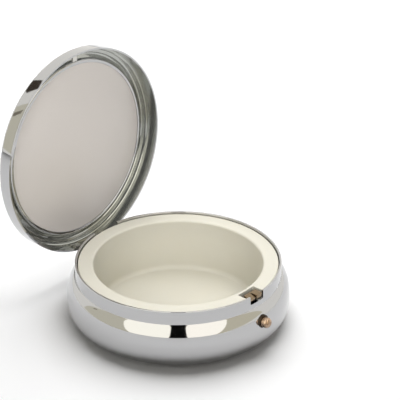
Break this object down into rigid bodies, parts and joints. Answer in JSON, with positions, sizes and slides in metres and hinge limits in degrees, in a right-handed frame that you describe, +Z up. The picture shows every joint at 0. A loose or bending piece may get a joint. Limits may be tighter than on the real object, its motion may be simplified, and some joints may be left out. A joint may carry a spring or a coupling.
{
  "type": "pyx",
  "caption": "Round metal pyx with a plastic cup, a hinged lid with a print outside and a mirror inside, and a push button on its side.",
  "frame": {"origin": "middle of the base's flat underside", "axes": "+Z up, the button points along -Y, the hinge is at +Y with its pin along X"},
  "size_m": [0.05, 0.0604, 0.0561],
  "materials": {
    "chrome_plate": "bright nickel-chrome plating on drawn sheet",
    "cream_plastic": "moulded cream plastic, satin",
    "latch_metal": "thinly nickel-plated brass",
    "spring_steel": "bare spring steel",
    "hinge_steel": "plated pressed steel",
    "print": "printed disc in several colours on an off-white ground",
    "clear_plastic": "clear glossy disc",
    "mirror_glass": "silvered mirror"
  },
  "bodies": {
    "base": {"base_shell": "chrome_plate", "insert_cup": "cream_plastic", "button_eyelet": "chrome_plate", "hinge_leaf": "hinge_steel", "hinge_pin": "hinge_steel", "latch_spring": "spring_steel"},
    "lid": {"lid_shell": "chrome_plate", "print_disc": "print", "clear_cover": "clear_plastic", "mirror_disc": "mirror_glass", "mirror_ring": "chrome_plate", "catch_tongue": "hinge_steel", "hinge_arm": "hinge_steel", "hinge_spring": "spring_steel"},
    "button": {"push_button": "latch_metal", "latch_plate": "latch_metal"}
  },
  "joints": [
    {"name": "lid_hinge", "type": "hinge", "parent": "base", "child": "lid", "pos_m": [0, 0.0238, 0.0085], "axis": [-1, 0, 0], "range_deg": [-92.5, 0], "stiffness_Nm_per_rad": 0.0015, "springref_deg": 57.3, "deforming": ["hinge_spring"]},
    {"name": "button_slide", "type": "slide", "parent": "base", "child": "button", "axis": [0, 1, 0], "range_m": [0, 0.0009], "stiffness_N_per_m": 1500, "springref_m": -0.0005, "deforming": ["latch_spring"]}
  ]
}
